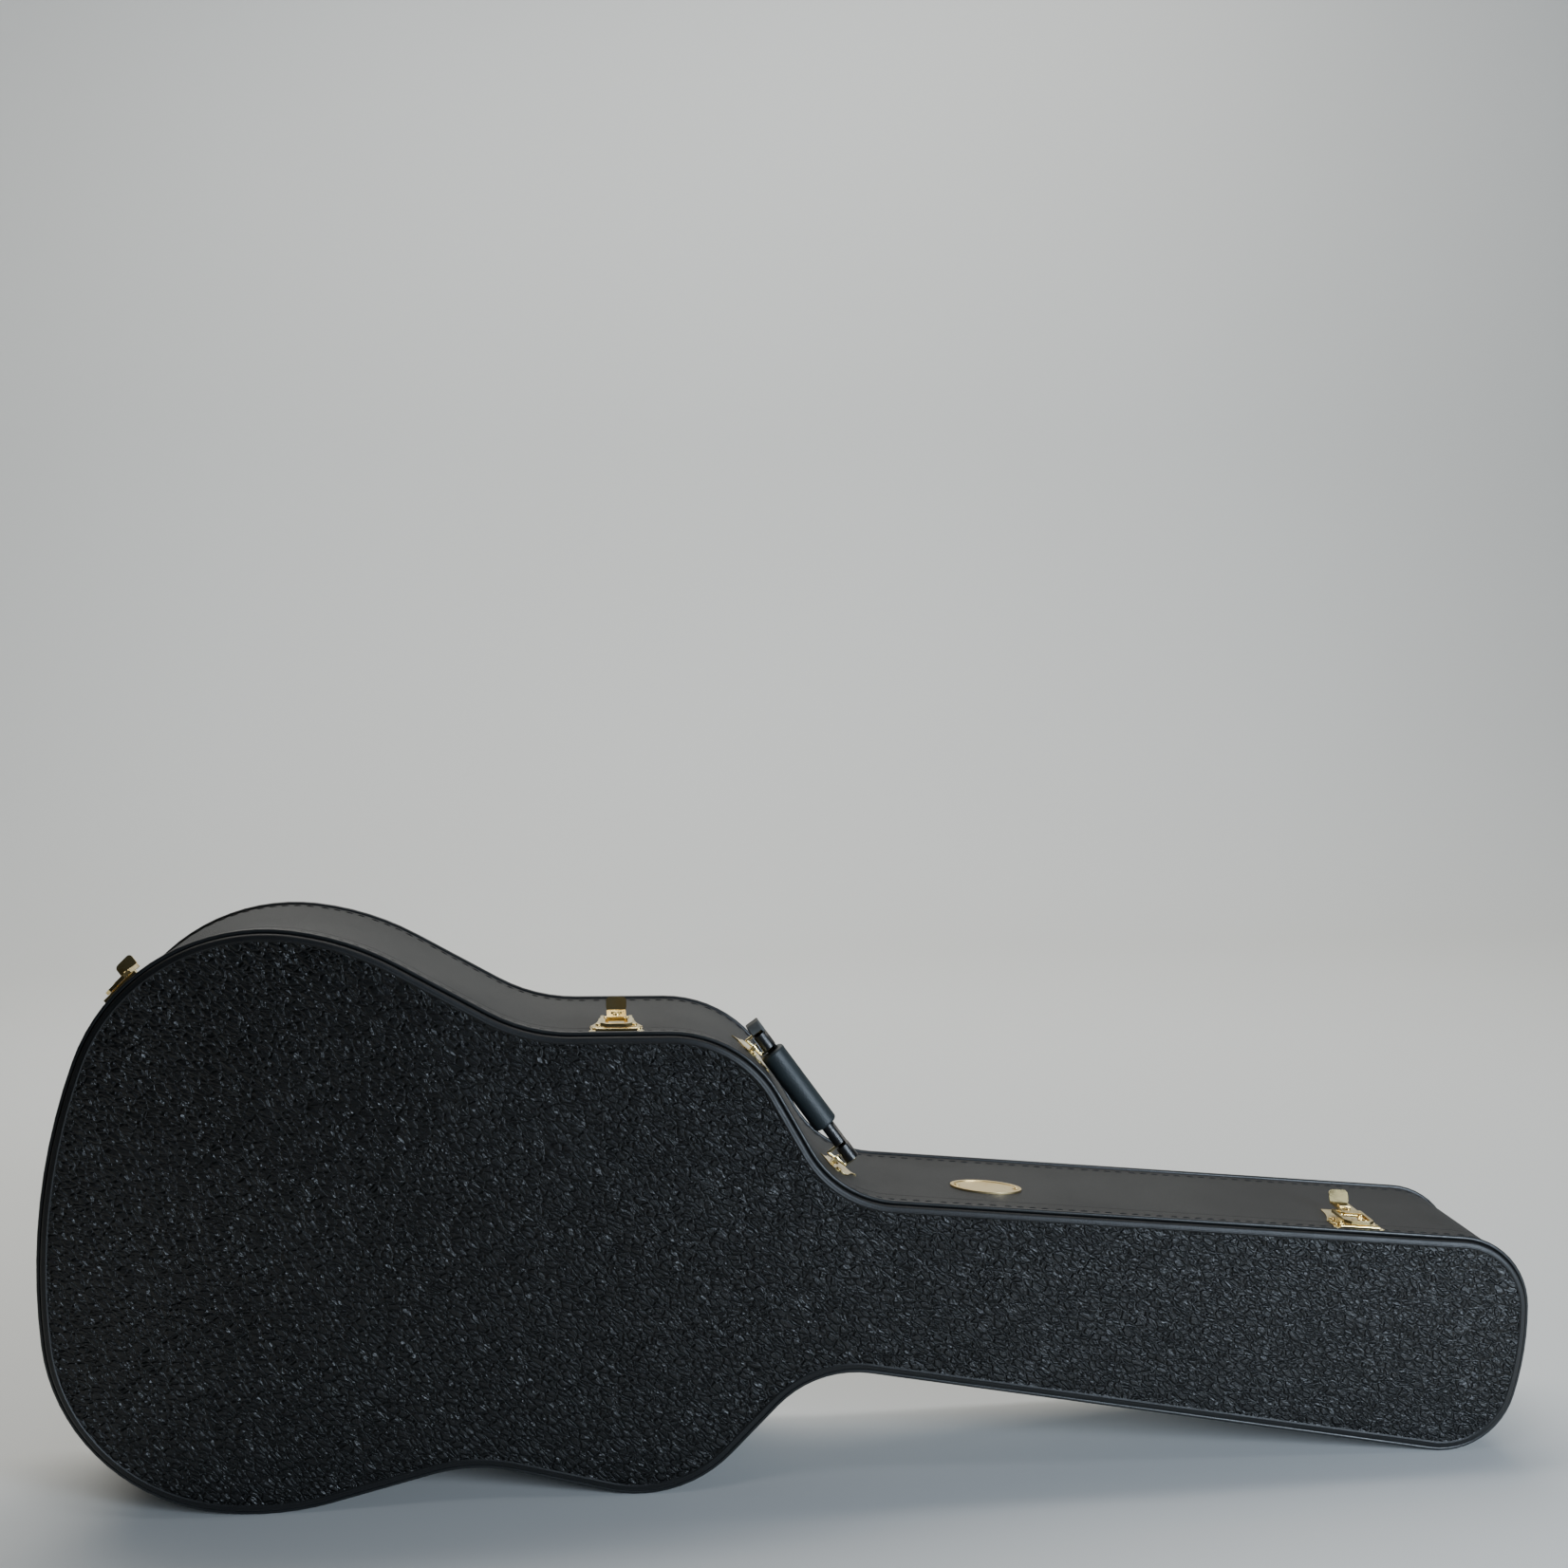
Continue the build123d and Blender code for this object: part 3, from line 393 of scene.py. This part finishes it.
# ---------------------------------------------------------------- covered faces
def face_skin(name, front, body, node):
    """Vinyl stretched over a face panel: a rounded shoulder out of the groove, a thin raised
    ridge a few millimetres in, and the flat of the panel closed by one face inside it."""
    ridge_in, ridge_up, ridge_r = 4.3, 0.55, 1.0
    shoulder = [(0.1, -2.75), (0.2, -2.0), (0.55, -1.2), (1.1, -0.62), (1.8, -0.25), (2.6, -0.06)]
    turn = np.linspace(-1.0, 1.0, 9)
    ridge = [(ridge_in + t * ridge_r, ridge_up * math.cos(t * math.pi / 2)**2) for t in turn]
    after = [(6.0, -0.12), (7.5, -0.05), (10.0, 0.0), (16.0, 0.02)]
    under = [(1.3, -VINYL_T), (1.3, -PANEL_FACE), (0.1, -PANEL_FACE)]
    rings = around(under + shoulder + ridge + after, front)
    rows, columns = len(rings), len(EDGE)
    faces = [list(q) for q in grid_faces(rows, columns, wrap_columns=True)]
    first = list(range(columns))
    faces += [first[::-1], list(range((rows - 1) * columns, rows * columns))]
    piece = make_piece(name, np.vstack(rings), faces, None, FACE_VINYL)
    mend_normals(piece)
    piece.data.materials.append(SHOULDER_VINYL)
    edge_faces = (rows - 1 - len(after)) * columns
    index = np.zeros(len(piece.data.polygons), np.int32)
    index[:edge_faces] = 1
    piece.data.polygons.foreach_set("material_index", index)
    soften(piece, 60.0)
    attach(piece, body)
    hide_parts(node)
    return piece


face_skin("lid_face_vinyl", True, "lid", "lid_face_cover")
face_skin("back_face_vinyl", False, "case", "back_cover")


# ---------------------------------------------------------------- stitching
def stitch_row(name, z, body, stitch=6.5, period=9.7, radius=0.58):
    """Thread stitches on the side: each is a thin capsule that dips into the vinyl at its ends,
    placed at equal steps along the outline."""
    count = int(round(PERIMETER / period))
    steps = (np.arange(count) + 0.5) / count * len(EDGE)
    where = steps.astype(int) % len(EDGE)
    spot, out = EDGE[where], OUT[where]
    along = np.column_stack((-out[:, 1], out[:, 0]))
    runs = np.linspace(-0.5, 0.5, 5)
    angles = np.arange(6) / 6 * 2 * math.pi
    arch = 0.25 - 2.2 * runs**2
    girth = radius * np.array([0.45, 1.0, 1.0, 1.0, 0.45])
    u = np.repeat(runs * stitch, 6)
    h = np.repeat(arch, 6) + np.repeat(girth, 6) * np.tile(np.cos(angles), 5)
    w = np.repeat(girth, 6) * np.tile(np.sin(angles), 5)
    x = spot[:, :1] + along[:, :1] * u + out[:, :1] * (SIDE_OUT + h)
    y = spot[:, 1:] + along[:, 1:] * u + out[:, 1:] * (SIDE_OUT + h)
    verts = stand(x.ravel(), y.ravel(), (z + np.zeros((count, 1)) + w).ravel())
    one = [list(q) for q in grid_faces(5, 6, wrap_columns=True)]
    one += [[5, 4, 3, 2, 1, 0], [24, 25, 26, 27, 28, 29]]
    faces = [[i + 30 * k for i in f] for k in range(count) for f in one]
    piece = make_piece(name, verts, faces, None, THREAD)
    mend_normals(piece)
    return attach(piece, body)


stitch_row("lid_edge_stitching", CASE_DEPTH - 12.8, "lid")
stitch_row("back_edge_stitching", 12.8, "case")


# ---------------------------------------------------------------- lining of the walls
def wall_lining(name, z_from, z_to, body, inner, turn_z):
    """Plush glued to the inside of the walls, its lower edge turned onto the panel: the outline
    moved inwards and given a thickness."""
    t = 0.25
    profile = [(WALL_IN + t, z_from), (WALL_IN + t, z_to), (WALL_IN + 0.02, z_to),
               (WALL_IN + 0.02, turn_z), (inner, turn_z), (inner, z_from)]
    rings = []
    for inwards, z in profile:
        spot = EDGE - inwards * OUT
        rings.append(stand(spot[:, 0], spot[:, 1], z))
    faces = grid_faces(len(rings), len(EDGE), wrap_rows=True, wrap_columns=True)
    piece = make_piece(name, np.vstack(rings), faces, None, PLUSH)
    mend_normals(piece)
    soften(piece)
    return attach(piece, body)


wall_lining("body_wall_lining", 5.5, 100.0, "case", 12.0, 5.25)
wall_lining("lid_wall_lining", CASE_DEPTH - PANEL_FACE - 0.25, SEAM_Z + 0.5, "lid", 12.0,
            CASE_DEPTH - PANEL_FACE - 0.02)


# ---------------------------------------------------------------- padding
def merged_copy(name, node):
    """A copy of a CAD mesh with its loose triangles joined."""
    mesh = nodes[node].data.copy()
    mesh.name = name
    shape = bmesh.new()
    shape.from_mesh(mesh)
    bmesh.ops.remove_doubles(shape, verts=shape.verts, dist=2e-6)
    shape.to_mesh(mesh)
    shape.free()
    piece = bpy.data.objects.new(name, mesh)
    bpy.context.scene.collection.objects.link(piece)
    return piece


def applied(piece):
    """Bakes a piece's modifiers into its mesh."""
    graph = bpy.context.evaluated_depsgraph_get()
    mesh = bpy.data.meshes.new_from_object(piece.evaluated_get(graph))
    piece.modifiers.clear()
    piece.data = mesh
    return piece


def points_of(mesh):
    co = np.empty(len(mesh.vertices) * 3, np.float32)
    mesh.vertices.foreach_get("co", co)
    return co.reshape(-1, 3)


def plush_pad(node, body, voxel=0.005, inset=0.0022, cap=0.004, tuck=0.0):
    """Foam under plush: the pad's block, drawn in a little, remeshed, puffed up by pressure in a
    short cloth run, with each point's travel capped and kept inside the block."""
    name = node + "_plush"
    pad = merged_copy(name, node)
    remesh = pad.modifiers.new("voxels", "REMESH")
    remesh.mode, remesh.voxel_size, remesh.adaptivity = "VOXEL", voxel, 0.0
    applied(pad)
    mesh = pad.data
    normals = np.empty(len(mesh.vertices) * 3, np.float32)
    mesh.vertices.foreach_get("normal", normals)
    start = points_of(mesh) - inset * normals.reshape(-1, 3)
    mesh.vertices.foreach_set("co", start.ravel())
    mesh.update()
    cloth = pad.modifiers.new("cloth", "CLOTH")
    cloth.settings.quality = 3
    cloth.settings.use_pressure = True
    cloth.settings.uniform_pressure_force = 4.0
    cloth.settings.effector_weights.gravity = 0.0
    scene = bpy.context.scene
    for number in range(1, 21):
        scene.frame_set(number)
    applied(pad)
    scene.frame_set(1)
    mesh = pad.data
    end = points_of(mesh)
    move = end - start
    length = np.linalg.norm(move, axis=1, keepdims=True)
    end = start + move * np.minimum(1.0, cap / np.maximum(length, 1e-9))
    low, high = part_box(node)
    end = np.clip(end, np.array(low) - 0.0001, np.array(high) + 0.0001)
    mesh.vertices.foreach_set("co", end.ravel())
    mesh.update()
    finer = pad.modifiers.new("smooth", "SUBSURF")
    finer.levels = finer.render_levels = 1
    mesh.polygons.foreach_set("use_smooth", [True] * len(mesh.polygons))
    pad.data.materials.clear()
    pad.data.materials.append(PLUSH)
    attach(pad, body)
    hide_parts(node)
    return pad


plush_pad("floor_pad", "case", voxel=0.006, inset=0.0015, cap=0.0016)
plush_pad("lid_pad", "lid", voxel=0.006, inset=0.002, cap=0.0022)
for side in ("latch_side", "hinge_side"):
    plush_pad("bolster_" + side, "case", voxel=0.006, inset=0.0025, cap=0.0028)
for node in ("neck_cradle", "pocket_partition", "pocket_ledge", "headstock_pad"):
    plush_pad(node, "case", voxel=0.0045, inset=0.0014, cap=0.0018)
plush_pad("pocket_lid", "pocket", voxel=0.0045, inset=0.001, cap=0.001)


def ribbon_tab():
    """The pocket lid's pull: a folded ribbon that rises in a flat arch, half a sine high, from a
    stitched end."""
    low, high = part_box("pocket_pull_tab")
    pts = points_of(nodes["pocket_pull_tab"].data)
    run_dir = np.array([math.sin(TILT), 0.0, math.cos(TILT)])
    wide_dir = np.array([math.cos(TILT), 0.0, -math.sin(TILT)])
    middle = (np.array(low) + np.array(high)) / 2
    run = (pts - middle) @ run_dir
    wide = (pts - middle) @ wide_dir
    s = np.linspace(0, 1, 40)
    length, half = run.max() - run.min(), (wide.max() - wide.min()) / 2 * 0.96
    rise = 0.0002 + 0.0045 * np.sin(math.pi * s)**0.7 * s
    line = middle + np.outer(run.min() + s * length, run_dir)
    line[:, 1] = high[1] - rise
    cross = np.linspace(-1, 1, 9)
    verts = line[:, None, :] + cross[None, :, None] * half * wide_dir
    faces = grid_faces(40, 9)
    tab = make_piece("pocket_ribbon_tab", verts.reshape(-1, 3), faces, None, RIBBON)
    thick = tab.modifiers.new("ribbon", "SOLIDIFY")
    thick.thickness, thick.offset = 0.0009, 0.0
    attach(tab, "pocket")
    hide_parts("pocket_pull_tab")


ribbon_tab()


# ---------------------------------------------------------------- hardware
BROKEN_EDGE, BADGE_RIM = 0.00022, 0.00045


def broken_edges(node, body, material, width=BROKEN_EDGE):
    """Stamped and plated part with its edges broken by tumbling: the CAD shape with its flat
    facets joined and its edges rounded."""
    piece = merged_copy(node + "_plated", node)
    shape = bmesh.new()
    shape.from_mesh(piece.data)
    bmesh.ops.dissolve_limit(shape, angle_limit=math.radians(1.0), verts=shape.verts,
                             edges=shape.edges)
    shape.to_mesh(piece.data)
    shape.free()
    soften(piece, 30.0)
    piece.data.materials.clear()
    piece.data.materials.append(material)
    bevel = piece.modifiers.new("broken edge", "BEVEL")
    bevel.width, bevel.segments, bevel.limit_method = width, 2, "ANGLE"
    bevel.angle_limit = math.radians(38)
    bevel.use_clamp_overlap = True
    bevel.harden_normals = True
    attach(piece, body)
    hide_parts(node)
    return piece


BODY_OF = {n: b for b, members in frame["record"]["behaviour"]["bodies"].items() for n in members}
for node in sorted(nodes):
    if node.startswith(("latch_base", "latch_lever", "latch_loop", "latch_keeper")):
        broken_edges(node, BODY_OF[node], LATCH_BRASS)
    if node.startswith(("hinge_body_leaf", "hinge_lid_leaf")):
        broken_edges(node, BODY_OF[node], HINGE_BRASS)
    if node.startswith("handle_plate") or node == "nameplate":
        broken_edges(node, BODY_OF[node], BADGE_BRASS if node == "nameplate" else LATCH_BRASS,
                     BADGE_RIM if node == "nameplate" else BROKEN_EDGE)


def strap_core():
    """The strap with its sheared end: beyond the first ring the cut shows the pale fibre core."""
    swing = joints["handle_swing"]
    piece = merged_copy("handle_strap", "handle_core")
    centres = np.array([f.center for f in piece.data.polygons])
    run = (centres - np.array(swing["pos_m"])) @ np.array(swing["axis"])
    if run.mean() < 0:
        run = -run
    piece.data.materials.clear()
    piece.data.materials.append(STRAP)
    piece.data.materials.append(STRAP_END)
    piece.data.polygons.foreach_set("material_index", (run < -1.3 * MM).astype(np.int32))
    soften(piece, 35.0)
    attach(piece, BODY_OF["handle_core"])
    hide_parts("handle_core")


strap_core()


def local_axes(joint):
    """Origin and axes at a latch's pivot: along the pin, towards the back, and outwards."""
    j = joints[joint]
    x = Vector(j["axis"]).normalized()
    y = Vector((0, 1, 0))
    return np.array(j["pos_m"]), np.array(x), np.array(y), np.array(x.cross(y))


LOCK_ALONG, LOCK_RISE = 0.0075, 0.0026  # lock boss from the lever's pivot


def keyhole(which):
    """A small lock on the lever: a round boss turned on a profile of rings about the outward axis, with a thin
    dark box laid in its dished face as the painted shadow of the key slot."""
    origin, x, y, z = local_axes("latch_lever_" + which)
    seat = origin + y * LOCK_ALONG + z * LOCK_RISE
    profile = np.array([(2.6, -0.2), (2.6, 0.5), (2.3, 0.8), (1.7, 0.8), (1.5, 0.55),
                        (0.001, 0.55)])
    angle = np.arange(24) / 24 * 2 * math.pi
    rings = []
    for r, h in profile * MM:
        rings.append(seat + r * (np.cos(angle)[:, None] * x + np.sin(angle)[:, None] * y) + h * z)
    faces = [list(q) for q in grid_faces(len(profile), 24, wrap_columns=True)]
    faces.append(list(range(24)))
    boss = make_piece("lock_boss_" + which, np.vstack(rings), faces, None, LATCH_BRASS)
    mend_normals(boss)
    soften(boss)
    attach(boss, "lever_" + which)
    # painted shadow: a thin dark box laid in the boss's face stands for the shade inside the key slot
    slot_profile = [(-0.35, -1.1), (0.35, -1.1), (0.35, 1.1), (-0.35, 1.1)]
    pts = [seat + (u * x + v * y) * MM + h * MM * z for h in (0.5, 0.6) for u, v in slot_profile]
    sides = [[0, 1, 5, 4], [1, 2, 6, 5], [2, 3, 7, 6], [3, 0, 4, 7], [3, 2, 1, 0], [4, 5, 6, 7]]
    slit = make_piece("lock_slit_" + which, pts, sides, None, SLOT_SHADOW_PAINT, smooth=False)
    mend_normals(slit)
    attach(slit, "lever_" + which)


for which in ("butt", "waist", "head"):
    keyhole(which)


# ---------------------------------------------------------------- stage, light and camera
FLOOR_FRONT = -0.6


def backdrop():
    """A sheet of pale paper: flat floor, a wide quarter-circle sweep and an upright wall. It ends
    in front of the case, where the unlit floor of the room begins."""
    floor_y, sweep = 2.2, 1.1
    turn = np.linspace(0, math.pi / 2, 24)
    ys = np.concatenate(([FLOOR_FRONT], [floor_y], floor_y + sweep * np.sin(turn[1:]),
                         [floor_y + sweep]))
    zs = np.concatenate(([0.0], [0.0], sweep * (1 - np.cos(turn[1:])), [7.0]))
    xs = np.linspace(-7, 7, 2)
    verts = [(x, y, z) for y, z in zip(ys, zs) for x in xs]
    material, tree, shader = start_material("backdrop_paper", Roughness=0.85)
    place = add(tree, "ShaderNodeTexCoord").outputs["Object"]
    cloud = add(tree, "ShaderNodeTexNoise", {"Vector": place, "Scale": 0.8, "Detail": 2.0})
    tree.links.new(mixed(tree, cloud.outputs[0], "#d3d4d1", "#dadcdb"), shader.inputs["Base Color"])
    paper = make_piece("backdrop", verts, grid_faces(len(ys), 2, flip=True), None, material)
    beyond = [(x, y, -0.002) for y in (-6.0, FLOOR_FRONT) for x in xs]
    room, _, _ = start_material("unlit_room_floor", Base_Color=linear("#1d1e1f"), Roughness=0.8)
    make_piece("room_floor", beyond, grid_faces(2, 2, flip=True), None, room)


backdrop()


def soft_light(name, place, target, size, power, colour):
    lamp = bpy.data.lights.new(name, "AREA")
    lamp.shape, lamp.size, lamp.size_y = "RECTANGLE", size[0], size[1]
    lamp.energy, lamp.color = power, linear(colour)[:3]
    holder = bpy.data.objects.new(name, lamp)
    bpy.context.scene.collection.objects.link(holder)
    holder.location = place
    aim = Vector(target) - Vector(place)
    holder.rotation_euler = aim.to_track_quat("-Z", "Y").to_euler()


soft_light("overhead", (-0.3, 1.45, 2.9), (-0.1, 0.8, 0.0), (4.0, 2.0), 72, "#fffaf0")
soft_light("right window", (1.45, -1.75, 0.62), (0.4, 0.0, 0.25), (0.6, 1.0), 66, "#d9e9fb")
soft_light("high front", (-0.1, -0.8, 2.3), (0.0, 0.0, 0.4), (0.4, 0.4), 3, "#f2f6ff")
soft_light("wall wash", (0.2, 0.6, 2.8), (0.3, 3.3, 1.2), (3.4, 1.0), 62, "#fbfdff")
world = bpy.data.worlds.new("studio")
bpy.context.scene.world = world
world.use_nodes = True
world.node_tree.nodes["Background"].inputs[0].default_value = linear("#c9d2da")
world.node_tree.nodes["Background"].inputs[1].default_value = 0.06

lens = bpy.data.cameras.new("camera")
lens.lens, lens.sensor_width, lens.clip_start = 44.53, 36.0, 0.05
camera = bpy.data.objects.new("camera", lens)
bpy.context.scene.collection.objects.link(camera)
CAMERA_PLACE = (-0.1380, -1.4401, 0.6301)
YAW, PITCH, ROLL = (math.radians(v) for v in (5.187, 4.684, -0.803))
ahead = Vector((math.sin(YAW) * math.cos(PITCH), math.cos(YAW) * math.cos(PITCH), -math.sin(PITCH)))
level = Vector((math.cos(YAW), -math.sin(YAW), 0))
top = level.cross(ahead)
right = math.cos(ROLL) * level + math.sin(ROLL) * top
upward = -math.sin(ROLL) * level + math.cos(ROLL) * top
turn = Matrix((right, upward, -ahead)).transposed().to_4x4()
camera.matrix_world = Matrix.Translation(CAMERA_PLACE) @ turn
bpy.context.scene.camera = camera
